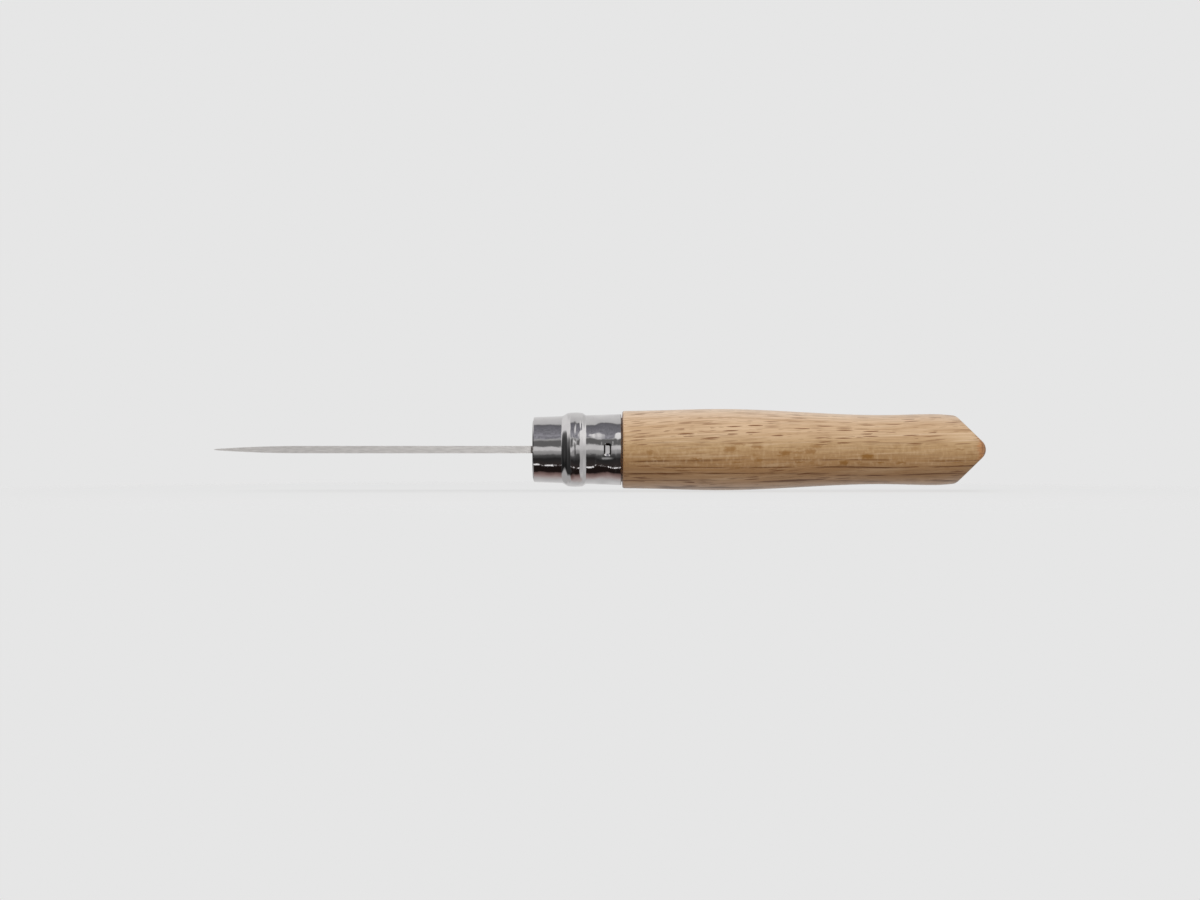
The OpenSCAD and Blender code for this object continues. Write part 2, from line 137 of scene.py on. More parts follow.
# The butt's ridge: its slant seen from the side, the rounding of its two corners,
# and how far in front of it worn end grain begins and is in full view
BUTT_SLANT = 9.0
BUTT_ROUND_MM = 2.5
BUTT_WEAR_MM = (2.4, 1.4)

# The blade: half of its thickness where the honed strip along the edge begins and is in full view,
# and the cosines between which its back begins and is in full view
HONED_HALF_MM = (0.17, 0.153)
BACK_FACING = (0.75, 0.45)

# Cells of the blade's marks along X, Y and Z: ground lines and broader streaks on its faces,
# scuffs on its back, and clouds; then the depth of the scratches
LINE_MM = (0.1, 5, 5)
FACE_STREAK_MM = (0.5, 9, 9)
SCUFF_MM = (2.5, 0.5, 0.25)
FACE_CLOUD_MM = (9, 4, 4)
SCRATCH_DEPTH_MM = 0.012

# The same for the turned collar and rivet
COLLAR_STREAK_MM = (0.1, 6, 6)
RIVET_STREAK_MM = (1, 1, 0.1)
TURNED_CLOUD_MM = (7, 3, 3)
TURNED_DEPTH_MM = 0.01

# The lock ring, from front to rear of the pivot: its bead, how softly the bead's crumples end,
# the stretch in which its waves grow, and two faint steps in the sheet
BEAD_MM = (-2.2, 1.4)
BEAD_SOFT_MM = 0.8
WAVES_GROW_MM = (-2.0, 3.0)
STEPS_MM = ((2.6, 4.6), (8.9, 10.9))

# Cells of the ring's waves, crumples, rub marks and stains along X, Y and Z,
# and the depth of its relief
WAVE_MM = (3.4, 6.0, 6.0)
CRUMPLE_MM = (1.5, 4.0, 4.0)
RUB_MM = (0.3, 4, 4)
STAIN_MM = (2.2, 1.6, 1.6)
RING_DEPTH_MM = 0.7

# The lock ring's stop dent: place behind the pivot, and half sizes of its mouth and its floor,
# along and across the knife
DENT_AT_MM = 7.6
DENT_MOUTH_MM = (1.0, 1.8)
DENT_FLOOR_MM = (0.5, 1.0)

# The sheet round the dent: reach of its drawn-in lip, and where the ring's back begins in Y
DENT_LIP_MM = 0.8
RING_BACK_MM = (0.0, -2.0)

# The dent's walls, darkened as painted shade: the distances from its floor between which the shade
# begins, and those between which it ends, the outer one first; and the heights between which the bright
# lower end ends
DENT_SHADE_MM = ((0.0, 0.12), (0.48, 0.36))
DENT_LOWER_END_MM = (-1.3, -0.9)


def srgb(red, green, blue):
    """Linear colour of an 8-bit one."""
    def linear(value):
        share = value / 255.0
        return share / 12.92 if share <= 0.04045 else ((share + 0.055) / 1.055) ** 2.4
    return (linear(red), linear(green), linear(blue), 1.0)


def grey(level):
    """Neutral colour of a linear level."""
    return (level, level, level, 1.0)


# Tones of the beech board, by millimetres above the collar axis: the wood's own tone, with painted sheen
# that pales it towards the top and a painted reflection that pales its bottom edge
BOARD_TONES_AND_SHEEN = (
    (-9.5, srgb(196, 162, 132)),
    (-7.5, srgb(180, 138, 96)),
    (-5.5, srgb(160, 117, 72)),
    (-2.0, srgb(167, 129, 85)),
    (0.5, srgb(188, 154, 111)),
    (3.0, srgb(196, 163, 125)),
    (6.5, srgb(206, 174, 140)),
    (9.5, srgb(224, 197, 169)),
)

# Marks in the beech
DARK_CLOUD = srgb(172, 132, 88)
PALE_CLOUD = srgb(212, 182, 148)
DARK_STREAK = srgb(156, 117, 77)
PALE_STREAK = srgb(222, 194, 162)
DARK_FIBRE = srgb(146, 107, 68)
LATE_WOOD = srgb(104, 62, 20)
PALE_TICK = srgb(212, 182, 144)
DARK_TICK = srgb(144, 104, 58)
FLAKE = srgb(138, 92, 30)
SPECK = srgb(120, 74, 24)
DASH = srgb(112, 64, 14)
BEVEL_FLECK = srgb(140, 98, 60)
END_PALE = srgb(190, 134, 86)
END_DARK = srgb(152, 100, 58)
END_PORE = srgb(112, 66, 34)

# Steels: the polished ring, the blade's faces and back, and the turned collar and rivet, whose darker
# tones are painted shade for the gaps round the ring
MIRROR = srgb(240, 238, 236)
MIRROR_STAIN = srgb(224, 220, 222)
# Painted shade: the dark colour laid on the walls of the ring's dent
DENT_WALL_SHADE = srgb(70, 68, 66)
FACE_PALE = srgb(226, 223, 219)
FACE_DARK = srgb(204, 201, 198)
FACE_STREAK = srgb(186, 183, 180)
BACK_PALE = srgb(233, 229, 226)
BACK_DARK = srgb(215, 211, 208)
# Darker than the other steels: painted shade for the gaps round the ring
TURNED_SHADED_PALE = srgb(150, 147, 144)
TURNED_SHADED_DARK = srgb(134, 131, 128)
TURNED_SHADED_STREAK = srgb(118, 115, 112)

# The studio that polished metal mirrors: light by the angle above the line of sight to the camera
LIGHT_AHEAD = (
    # Floor, paler towards the backdrop
    (-180, 0.75), (-113, 0.42), (-100, 0.28), (-88, 0.14),
    # Dark room with a faint glow
    (-82, 0.013), (-60, 0.013), (-57, 0.04), (-52, 0.035), (-33, 0.022),
    # Pale strip at the height of the camera
    (-26, 0.055), (-20, 0.085), (-15, 0.27), (-5, 0.36), (-2, 0.58), (8, 0.60),
    # Dark above it
    (12, 0.13), (30, 0.13),
    # Ceiling and pale backdrop
    (35, 0.40), (70, 0.24), (94, 0.15), (99, 0.52), (180, 0.75),
)
LIGHT_RIGHT = (
    (-180, 0.5), (-120, 0.46), (-90, 0.54), (-60, 0.45), (-40, 0.42), (-15, 0.45), (0, 0.58),
    (16, 0.7), (35, 0.8), (55, 0.88), (100, 0.86), (115, 0.6), (137, 0.54), (180, 0.6),
)

# Light in -X, by the angle above a line that rises towards that side
LIGHT_LEFT = ((-150, 0.012), (-90, 0.03), (-40, 0.06), (-12, 0.14), (0, 0.36), (12, 0.72))
LEFT_LINE_RISE = -160.0
LEFT_LINE_AT = -40.0

# Bands of the studio: the angles between which each one begins, and those between which it ends,
# the outer one first
WARM_BAND = ((-130.0, -85.0), (-25.0, -70.0))
GLINT_BAND = ((-57.8, -55.8), (-51.3, -53.3))
CEILING_BAND = ((33.0, 40.0), (98.0, 90.0))
WIDE_BAND = ((28.0, 38.0), (64.0, 54.0))

# Where the grey underfoot begins and is in full view, and tints and levels of the studio's parts
UNDERFOOT = (-82.0, -98.0)
WARM_TINT = srgb(255, 212, 203)
COOL_TINT = srgb(244, 244, 255)
GLINT_LEVEL = 0.95
CEILING_SMEAR_LEVEL = 0.14
RIGHT_SMEAR_LEVEL = 0.4
UNDERFOOT_LEVEL = 0.4
FAR_END_LEVEL = 0.05

# Where the studio's sides and far end begin and are in full view, in X of a direction of length 1,
# and where the light from below does, in Z
LEFT_FROM = (-0.2, -0.34)
FAR_END_FROM = (-0.8, -0.95)
RIGHT_FROM = (0.2, 0.36)
RIGHT_WIDER = 0.26
BELOW_FROM = (-0.3, -0.95)

# Cells of what breaks the studio up, in a direction of length 1, and how far clutter moves a level
CLUTTER_CELL = (0.04, 0.25, 0.25)
CLUTTER_ANGLE = 6.0
GLINT_CELL = (0.03, 0.4, 0.4)
SMEAR_CELL = (0.02, 0.12, 0.12)


class Graph:
    """A shader's nodes and short ways to add to them. A socket given as input is linked, a value set."""

    def __init__(self, tree):
        self.tree = tree
        self.tree.nodes.clear()

    def node(self, kind, inputs=None, **settings):
        made = self.tree.nodes.new("ShaderNode" + kind)
        for name, value in settings.items():
            setattr(made, name, value)
        for name, value in (inputs or {}).items():
            if isinstance(value, bpy.types.NodeSocket):
                self.tree.links.new(value, made.inputs[name])
            else:
                made.inputs[name].default_value = value
        return made

    def math(self, operation, first, second=0.0):
        return self.node("Math", {0: first, 1: second}, operation=operation).outputs[0]

    def joined(self, operation, values):
        """One value from many, joined one after another by an operation."""
        result = values[0]
        for value in values[1:]:
            result = self.math(operation, result, value)
        return result

    def total(self, *values):
        return self.joined("ADD", values)

    def times(self, *values):
        return self.joined("MULTIPLY", values)

    def largest(self, *values):
        return self.joined("MAXIMUM", values)

    def minus(self, first, second):
        return self.math("SUBTRACT", first, second)

    def rest(self, share):
        """What a share leaves of 1."""
        return self.minus(1.0, share)

    def unsigned(self, value):
        return self.math("ABSOLUTE", value)

    def smooth(self, value, low, high):
        """0 below low and 1 above high, with a smooth step between; low may be the larger."""
        sides = {"Value": value, "From Min": low, "From Max": high}
        return self.node("MapRange", sides, interpolation_type="SMOOTHSTEP").outputs[0]

    def band(self, value, begin, end):
        """1 between two smooth steps, 0 outside them."""
        return self.times(self.smooth(value, *begin), self.smooth(value, *end))

    def span(self, value, low, high):
        """A 0 to 1 value spread from low to high."""
        return self.node("MapRange", {"Value": value, "To Min": low, "To Max": high}).outputs[0]

    def vector(self, operation, first, second):
        return self.node("VectorMath", {0: first, 1: second}, operation=operation).outputs[0]

    def length(self, vector):
        return self.node("VectorMath", {0: vector}, operation="LENGTH").outputs["Value"]

    def axes(self, vector):
        parts = self.node("SeparateXYZ", {"Vector": vector}).outputs
        return parts["X"], parts["Y"], parts["Z"]

    def combined(self, x=0.0, y=0.0, z=0.0):
        return self.node("CombineXYZ", {"X": x, "Y": y, "Z": z}).outputs["Vector"]

    def turned(self, vector, turn):
        sides = {"Vector": vector, "Rotation": [math.radians(angle) for angle in turn]}
        return self.node("Mapping", sides).outputs["Vector"]

    def stretched(self, vector, cell):
        """Coordinates in which a cell of the given size along each axis is 1 by 1 by 1."""
        return self.vector("DIVIDE", vector, cell)

    def noise(self, vector, cell, detail):
        sides = {"Vector": self.stretched(vector, cell), "Scale": 1.0, "Detail": detail}
        return self.node("TexNoise", sides).outputs["Fac"]

    def mottle(self, vector, cell):
        """Random vector that changes from cell to cell, about zero."""
        sides = {"Vector": self.stretched(vector, cell), "Scale": 1.0, "Detail": 1.0}
        return self.vector("SUBTRACT", self.node("TexNoise", sides).outputs["Color"], (0.5, 0.5, 0.5))

    def plates(self, vector, cell, half, soft=0.35):
        """Lens-shaped plates of the given half size, one to a cell, and a random number for each."""
        scaled = self.stretched(vector, cell)
        made = self.node("TexVoronoi", {"Vector": scaled, "Scale": 1.0})
        apart = self.vector("SUBTRACT", scaled, made.outputs["Position"])
        shares = [whole / part for whole, part in zip(cell, half)]
        along, across, deep = self.axes(self.vector("MULTIPLY", apart, shares))
        lens = self.total(self.times(along, along), self.unsigned(across))
        inside = self.times(
            self.smooth(lens, 1.0, 1.0 - soft),
            self.smooth(self.unsigned(deep), 1.0, 1.0 - soft),
        )
        chance = self.node("SeparateColor", {"Color": made.outputs["Color"]}).outputs["Red"]
        return inside, chance

    def ramp(self, value, stops):
        """Colour at value on a line through (value, colour) stops."""
        low, high = stops[0][0], stops[-1][0]
        share = self.node("MapRange", {"Value": value, "From Min": low, "From Max": high}).outputs[0]
        made = self.node("ValToRGB", {"Fac": share})
        line = made.color_ramp
        while len(line.elements) < len(stops):
            line.elements.new(0.5)
        for element, (place, colour) in zip(line.elements, stops):
            element.position = (place - low) / (high - low)
            element.color = colour
        return made.outputs["Color"]

    def grey_ramp(self, value, stops):
        """Neutral colour at value on a line through (value, level) stops."""
        return self.ramp(value, [(place, grey(level)) for place, level in stops])

    def mix(self, share, first, second, blend="MIX"):
        sides = {0: share, 6: first, 7: second}
        return self.node("Mix", sides, data_type="RGBA", blend_type=blend).outputs[2]

    def tint(self, colour, other, strength, *masks):
        """A colour with another laid over it, at the given strength, where all the masks are 1."""
        return self.mix(self.times(*masks, strength), colour, other)

    def bump(self, height, distance_mm, strength=1.0):
        sides = {"Height": height, "Distance": distance_mm / MM, "Strength": strength}
        return self.node("Bump", sides).outputs["Normal"]


def material(name):
    """A new material and the graph that fills it."""
    made = bpy.data.materials.new(name)
    made.use_nodes = True
    return made, Graph(made.node_tree)


def surface(graph, inputs):
    """Ends a graph with one shader."""
    shader = graph.node("BsdfPrincipled", inputs)
    graph.node("OutputMaterial", {"Surface": shader.outputs["BSDF"]})


def place_mm(graph):
    """Place on the piece in millimetres from the pivot's place on the collar axis."""
    place = graph.node("TexCoord").outputs["Object"]
    return graph.vector("MULTIPLY", graph.vector("SUBTRACT", place, AXIS), (MM, MM, MM))


def facing(graph):
    """The surface's own direction, in the piece's axes."""
    normal = graph.node("NewGeometry").outputs["Normal"]
    turned = graph.node("VectorTransform", {"Vector": normal}, vector_type="NORMAL",
                        convert_from="WORLD", convert_to="OBJECT")
    return graph.axes(turned.outputs["Vector"])


def unrolled_mm(graph, place):
    """A place on the handle rolled out flat: along it, round it from its back, and out from the axis."""
    x, y, z = graph.axes(place)
    turn = graph.math("ARCTAN2", z, graph.times(y, -1.0))
    out = graph.length(graph.combined(y=y, z=z))
    return graph.combined(x, graph.times(turn, GRIP_R_MM), out)


def before_ridge_mm(graph):
    """Distance in front of the butt's slanted ridge."""
    slant = math.radians(BUTT_SLANT)
    corner = (Vector(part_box("handle")[1]) - AXIS) * MM
    corner -= Vector((BUTT_ROUND_MM, BUTT_ROUND_MM, 0.0))
    ridge = BUTT_ROUND_MM + corner.x * math.cos(slant) - corner.y * math.sin(slant)
    across = graph.turned(place_mm(graph), (0.0, 0.0, BUTT_SLANT))
    return graph.minus(ridge, graph.axes(across)[0])


class Timber:
    """Where a point of the handle lies in its wood, and how the surface cuts the wood there."""

    def __init__(self, graph):
        straight = place_mm(graph)
        wander = graph.vector("MULTIPLY", graph.mottle(straight, WANDER_CELL_MM), WANDER_MM)
        self.place = graph.vector("ADD", straight, wander)
        self.grain = graph.turned(unrolled_mm(graph, self.place), (0.0, 0.0, -FIBRE_RISE))
        self.height = graph.axes(self.place)[2]

        along_x, along_y, along_z = facing(graph)
        self.bevel = graph.smooth(graph.unsigned(along_x), *BEVEL_FACING)
        self.side = graph.rest(self.bevel)
        self.end = graph.smooth(graph.unsigned(along_x), *END_FACING)
        tilt = math.radians(RAY_TILT)
        off_rays = graph.total(
            graph.times(along_y, math.cos(tilt)),
            graph.times(along_z, math.sin(tilt)),
        )
        self.lying = graph.smooth(graph.unsigned(off_rays), *FLAKE_FACING)


def board_tone_and_sheen(graph, timber):
    """Tone of the board, with painted sheen paling it towards the top and a painted reflection paling
    its bottom edge, and faint clouds along the grain.
    """
    colour = graph.ramp(timber.height, BOARD_TONES_AND_SHEEN)
    cloud = graph.noise(timber.grain, CLOUD_MM, 3.0)
    colour = graph.tint(colour, DARK_CLOUD, 0.4, graph.smooth(cloud, 0.45, 0.75))
    return graph.tint(colour, PALE_CLOUD, 0.35, graph.smooth(cloud, 0.5, 0.25))


def with_fibres(graph, timber, colour, fibres):
    """Adds dark and pale streaks, the pale ones most of all high up, and fine dark fibres."""
    streaks = graph.noise(timber.grain, STREAK_MM, 3.0)
    colour = graph.tint(colour, DARK_STREAK, 0.5, graph.smooth(streaks, 0.52, 0.72), timber.side)
    high_up = graph.span(graph.smooth(timber.height, *PALE_STREAKS_MM), 0.15, 0.5)
    colour = graph.tint(colour, PALE_STREAK, high_up, graph.smooth(streaks, 0.48, 0.28), timber.side)
    return graph.tint(colour, DARK_FIBRE, 0.5, graph.smooth(fibres, 0.5, 0.72), timber.side)


def growth_lines(graph, timber):
    """The darker wood that ends each year's growth, and how strongly it shows from place to place."""
    unsteady = graph.noise(timber.place, GROWTH_CELL_MM, 2.0)
    wander = graph.times(unsteady, GROWTH_WANDER_YEARS)
    years = graph.total(graph.math("DIVIDE", timber.height, GROWTH_MM), wander)
    line = graph.band(graph.math("FRACT", years), *LATE_WOOD_YEARS)
    broken = graph.smooth(graph.noise(timber.grain, GROWTH_BREAK_MM, 2.0), 0.38, 0.6)
    low_down = graph.smooth(timber.height, *DARK_GROWTH_MM)
    here_and_there = graph.times(graph.smooth(unsteady, 0.45, 0.7), 0.4)
    return line, graph.times(graph.total(low_down, here_and_there), broken)


def cut_rays(graph, timber):
    """Dashes and finer specks, where the surface cuts across the rays."""
    crowd = graph.smooth(graph.noise(timber.grain, RAY_CROWD_MM, 2.0), 0.38, 0.58)
    cut = graph.times(graph.span(timber.lying, 1.0, 0.1), timber.side, graph.span(crowd, 0.5, 1.0))
    dash, dash_chance = graph.plates(timber.grain, DASH_CELL_MM, DASH_HALF_MM)
    speck, speck_chance = graph.plates(timber.grain, SPECK_CELL_MM, SPECK_HALF_MM)
    dashes = graph.times(dash, graph.smooth(dash_chance, 0.35, 0.8), cut)
    specks = graph.times(speck, graph.smooth(speck_chance, 0.5, 0.9), cut)
    return dashes, specks


def flakes(graph, timber):
    """Ragged flakes and slivers, where the rays lie in the surface."""
    jitter = graph.vector("MULTIPLY", graph.mottle(timber.place, RAGGED_CELL_MM), RAGGED_MM)
    ragged = graph.vector("ADD", timber.place, jitter)
    flake, flake_chance = graph.plates(ragged, FLAKE_CELL_MM, FLAKE_HALF_MM, soft=0.8)
    sliver, sliver_chance = graph.plates(ragged, SLIVER_CELL_MM, SLIVER_HALF_MM, soft=0.8)
    shown = graph.largest(
        graph.times(flake, graph.smooth(flake_chance, 0.3, 0.9)),
        graph.times(sliver, graph.smooth(sliver_chance, 0.5, 1.0), 0.8),
    )
    return graph.times(shown, timber.lying)


def with_rays(graph, timber, colour, dashes, specks):
    """Adds short ticks and flakes where the rays lie in the surface, dashes and specks elsewhere."""
    ticks = graph.noise(timber.place, TICK_MM, 1.0)
    colour = graph.tint(colour, PALE_TICK, 0.2, graph.smooth(ticks, 0.5, 0.3), timber.lying)
    colour = graph.tint(colour, DARK_TICK, 0.2, graph.smooth(ticks, 0.5, 0.7), timber.lying)
    colour = graph.tint(colour, FLAKE, 0.95, flakes(graph, timber))
    colour = graph.tint(colour, SPECK, 0.6, specks)
    return graph.tint(colour, DASH, 0.95, dashes)


def with_end_grain(graph, timber, colour, line):
    """Adds flecks on the bevels, and the darker, redder end grain with rays and pores cut across."""
    pores = graph.smooth(graph.noise(timber.place, PORE_MM, 2.0), 0.35, 0.65)
    colour = graph.tint(colour, BEVEL_FLECK, 0.4, pores, timber.bevel)
    uneven = graph.times(graph.minus(pores, 0.5), PORE_WEAR_MM)
    worn = graph.smooth(graph.total(before_ridge_mm(graph), uneven), *BUTT_WEAR_MM)
    end_rays = graph.smooth(graph.noise(timber.place, END_RAY_MM, 2.0), 0.38, 0.62)
    end_pores = graph.smooth(graph.noise(timber.place, END_PORE_MM, 1.0), 0.45, 0.7)
    end_colour = graph.mix(end_rays, END_PALE, END_DARK)
    end_colour = graph.tint(end_colour, END_PORE, 0.5, graph.largest(end_pores, line))
    return graph.tint(colour, end_colour, 0.85, graph.largest(timber.end, worn))


def beech():
    """Steamed beech: rays show as thin dashes on the broad sides and as flakes along back and belly."""
    made, graph = material("beech_varnished")
    timber = Timber(graph)
    fibres = graph.noise(timber.grain, FIBRE_MM, 3.0)
    line, line_strength = growth_lines(graph, timber)
    dashes, specks = cut_rays(graph, timber)

    colour = board_tone_and_sheen(graph, timber)
    colour = with_fibres(graph, timber, colour, fibres)
    colour = graph.tint(colour, LATE_WOOD, 0.95, line, line_strength)
    colour = with_rays(graph, timber, colour, dashes, specks)
    colour = with_end_grain(graph, timber, colour, line)

    raised = graph.times(fibres, timber.side, 0.6)
    sunk = graph.times(graph.total(dashes, specks), 0.3)
    surface(graph, {
        "Base Color": colour,
        "Roughness": graph.span(fibres, 0.36, 0.56),
        "Specular IOR Level": 0.5,
        "Coat Weight": 0.4,
        "Coat Roughness": 0.3,
        "Normal": graph.bump(graph.minus(raised, sunk), GRAIN_DEPTH_MM, 0.5),
    })
    return made


def beyond_dent_mm(graph, half):
    """Distance outside an oblong round the middle of the stop dent, of the given half size."""
    x, _, z = graph.axes(place_mm(graph))
    beside = graph.minus(graph.unsigned(graph.minus(x, DENT_AT_MM)), half[0])
    above = graph.minus(graph.unsigned(z), half[1])
    return graph.length(graph.combined(graph.largest(beside, 0.0), graph.largest(above, 0.0)))


def ring_relief(graph, place, stain):
    """Height of the ring's sheet: waves, crumples on the bead, two faint steps and the dent's lip."""
    x, y, _ = graph.axes(place)
    waves = graph.noise(place, WAVE_MM, 0.5)
    pressed = graph.span(graph.smooth(x, *WAVES_GROW_MM), 0.25, 0.9)
    crumple = graph.noise(place, CRUMPLE_MM, 1.0)
    front, rear = BEAD_MM
    on_bead = graph.band(x, (front, front + BEAD_SOFT_MM), (rear, rear - BEAD_SOFT_MM))
    steps = graph.total(*[graph.smooth(x, foot, head) for head, foot in STEPS_MM])
    near_dent = graph.smooth(beyond_dent_mm(graph, DENT_MOUTH_MM), DENT_LIP_MM, 0.0)
    lip = graph.times(near_dent, graph.smooth(y, *RING_BACK_MM))
    return graph.total(
        graph.times(waves, pressed),
        graph.times(stain, 0.02),
        graph.times(crumple, on_bead, 0.3),
        graph.times(steps, 0.15),
        graph.times(lip, -0.1),
    )


def polished_steel():
    """Mirror-polished sheet steel, wavy from pressing, with fine rub marks and a dent whose walls carry
    painted shade.
    """
    made, graph = material("polished_steel")
    place = place_mm(graph)
    rub = graph.noise(place, RUB_MM, 3.0)
    stain = graph.noise(place, STAIN_MM, 3.0)
    # Painted shade on the dent's walls, down to the bright lower end
    wall_shade = graph.band(beyond_dent_mm(graph, DENT_FLOOR_MM), *DENT_SHADE_MM)
    above_lower_end = graph.smooth(graph.axes(place)[2], *DENT_LOWER_END_MM)
    colour = graph.mix(stain, MIRROR, MIRROR_STAIN)
    surface(graph, {
        "Base Color": graph.tint(colour, DENT_WALL_SHADE, 0.9, wall_shade, above_lower_end),
        "Metallic": 1.0,
        "Roughness": graph.span(graph.times(rub, stain), 0.03, 0.16),
        "Normal": graph.bump(ring_relief(graph, place, stain), RING_DEPTH_MM),
    })
    return made


def ground_steel():
    """Blade steel: satin faces with lines from back to edge, a coarser back and a bright honed edge."""
    made, graph = material("blade_satin")
    place = place_mm(graph)
    back = graph.smooth(graph.unsigned(facing(graph)[2]), *BACK_FACING)
    face = graph.rest(back)
    lines = graph.noise(place, LINE_MM, 3.0)
    streaks = graph.smooth(graph.noise(place, FACE_STREAK_MM, 2.0), 0.3, 0.7)
    scuff = graph.noise(place, SCUFF_MM, 3.0)
    cloud = graph.noise(place, FACE_CLOUD_MM, 3.0)
    half = graph.unsigned(graph.axes(place)[2])
    honed = graph.times(graph.smooth(half, *HONED_HALF_MM), face)

    face_colour = graph.tint(graph.mix(lines, FACE_PALE, FACE_DARK), FACE_STREAK, 0.4, streaks)
    back_colour = graph.mix(graph.smooth(scuff, 0.3, 0.7), BACK_PALE, BACK_DARK)
    face_rough = graph.total(
        graph.span(lines, 0.24, 0.4),
        graph.span(cloud, -0.03, 0.05),
        graph.span(streaks, -0.04, 0.04),
        graph.times(honed, -0.12),
    )
    back_rough = graph.span(scuff, 0.45, 0.65)
    scratches = graph.total(graph.times(lines, 0.5), graph.times(scuff, back))
    surface(graph, {
        "Base Color": graph.mix(back, face_colour, back_colour),
        "Metallic": graph.span(back, 1.0, 0.45),
        "Roughness": graph.total(graph.times(face_rough, face), graph.times(back_rough, back)),
        "Normal": graph.bump(scratches, SCRATCH_DEPTH_MM, 0.5),
    })
    return made


def shaded_turned_steel(name, streak_mm):
    """Turned steel with fine streaks, in a darker tone that is painted shade for the gaps round the
    ring; streak_mm is the size of one streak along each axis.
    """
    made, graph = material(name)
    place = place_mm(graph)
    streaks = graph.noise(place, streak_mm, 3.0)
    cloud = graph.noise(place, TURNED_CLOUD_MM, 3.0)
    # The darker tone is painted shade
    tone = graph.mix(cloud, TURNED_SHADED_PALE, TURNED_SHADED_DARK)
    surface(graph, {
        "Base Color": graph.mix(graph.smooth(streaks, 0.35, 0.75), tone, TURNED_SHADED_STREAK),
        "Metallic": 1.0,
        "Roughness": graph.span(streaks, 0.3, 0.5),
        "Normal": graph.bump(streaks, TURNED_DEPTH_MM, 0.5),
    })
    return made


def smooth_copy(node, name):
    """A piece with the CAD solid's shape, welded, and smooth except at its real edges."""
    mesh = frame["nodes"][node].data.copy()
    mesh.name = name
    piece = bpy.data.objects.new(name, mesh)
    bpy.context.scene.collection.objects.link(piece)
    if "custom_normal" in mesh.attributes:
        mesh.attributes.remove(mesh.attributes["custom_normal"])
    work = bmesh.new()
    work.from_mesh(mesh)
    bmesh.ops.remove_doubles(work, verts=work.verts, dist=WELD_MM / MM)
    creases = work.edges.layers.float.new("crease_edge")
    for face in work.faces:
        face.smooth = True
    for edge in work.edges:
        sharp = edge.calc_face_angle(math.pi) > math.radians(SMOOTH_ANGLE)
        edge.smooth = not sharp
        edge[creases] = 1.0 if sharp else 0.0
    work.to_mesh(mesh)
    work.free()
    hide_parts(node)
    return piece


def sand(piece):
    """Rounds a wooden piece off all over, as sanding does."""
    subdivided = piece.modifiers.new("subdivided", "SUBSURF")
    subdivided.levels = 1
    even = piece.modifiers.new("even", "REMESH")
    even.mode = "VOXEL"
    even.voxel_size = SANDED_VOXEL_MM / MM
    even.use_smooth_shade = True
    soft = piece.modifiers.new("soft", "SMOOTH")
    soft.factor = SANDED_FACTOR
    soft.iterations = SANDED_PASSES
    evaluated = piece.evaluated_get(bpy.context.evaluated_depsgraph_get())
    sanded = bpy.data.meshes.new_from_object(evaluated)
    piece.modifiers.clear()
    piece.data = sanded


def dress(piece, look):
    """Gives a piece one material."""
    piece.data.materials.clear()
    piece.data.materials.append(look)


def dress_node(node, look):
    """Gives a CAD node, which keeps its own mesh, one material."""
    for slot in frame["nodes"][node].material_slots:
        slot.material = look


def make_handle():
    handle = smooth_copy("handle", "beech_handle")
    sand(handle)
    dress(handle, beech())
    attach(handle, "handle")


def make_blade():
    blade = smooth_copy("blade", "blade_ground")
    dress(blade, ground_steel())
    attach(blade, "blade")


def make_ring():
    ring = smooth_copy("lock_ring", "ring_polished")
    ring.modifiers.new("even_normals", "WEIGHTED_NORMAL").keep_sharp = True
    dress(ring, polished_steel())
    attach(ring, "lock_ring")


def make_inner_steel():
    # Collar and rivet in dark steel, as painted shade in the gaps round the ring
    dress_node("fixed_collar", shaded_turned_steel("collar_turned_shaded", COLLAR_STREAK_MM))
    dress_node("pivot_rivet", shaded_turned_steel("rivet_turned_shaded", RIVET_STREAK_MM))


def make_floor():
    """Pale floor that takes the knife's shadow and fades into the backdrop."""
    half = FLOOR_SIZE / 2
    mesh = bpy.data.meshes.new("floor")
    corners = [(-half, -half, 0), (half, -half, 0), (half, half, 0), (-half, half, 0)]
    mesh.from_pydata(corners, [], [(0, 1, 2, 3)])
    floor = bpy.data.objects.new("floor", mesh)
    floor.location.z = -FLOOR_CLEAR
    floor.visible_glossy = False
    floor.visible_diffuse = False
    bpy.context.scene.collection.objects.link(floor)

    made, graph = material("pale_floor")
    away = graph.length(graph.node("TexCoord").outputs["Object"])
    path = graph.node("LightPath").outputs
    seen = graph.largest(path["Is Camera Ray"], path["Is Glossy Ray"], path["Is Transmission Ray"])
    glow = graph.node("Emission", {"Color": grey(PALE)})
    matte = graph.node("BsdfDiffuse", {"Color": grey(PALE)})
    flat = graph.times(seen, 1 - FLOOR_SHARE)
    lit = graph.node("MixShader", {0: flat, 1: matte.outputs[0], 2: glow.outputs[0]})
    clear = graph.node("BsdfTransparent")
    gone = graph.smooth(away, *FLOOR_FADE)
    faded = graph.node("MixShader", {0: gone, 1: lit.outputs[0], 2: clear.outputs[0]})
    graph.node("OutputMaterial", {"Surface": faded.outputs[0]})
    mesh.materials.append(made)


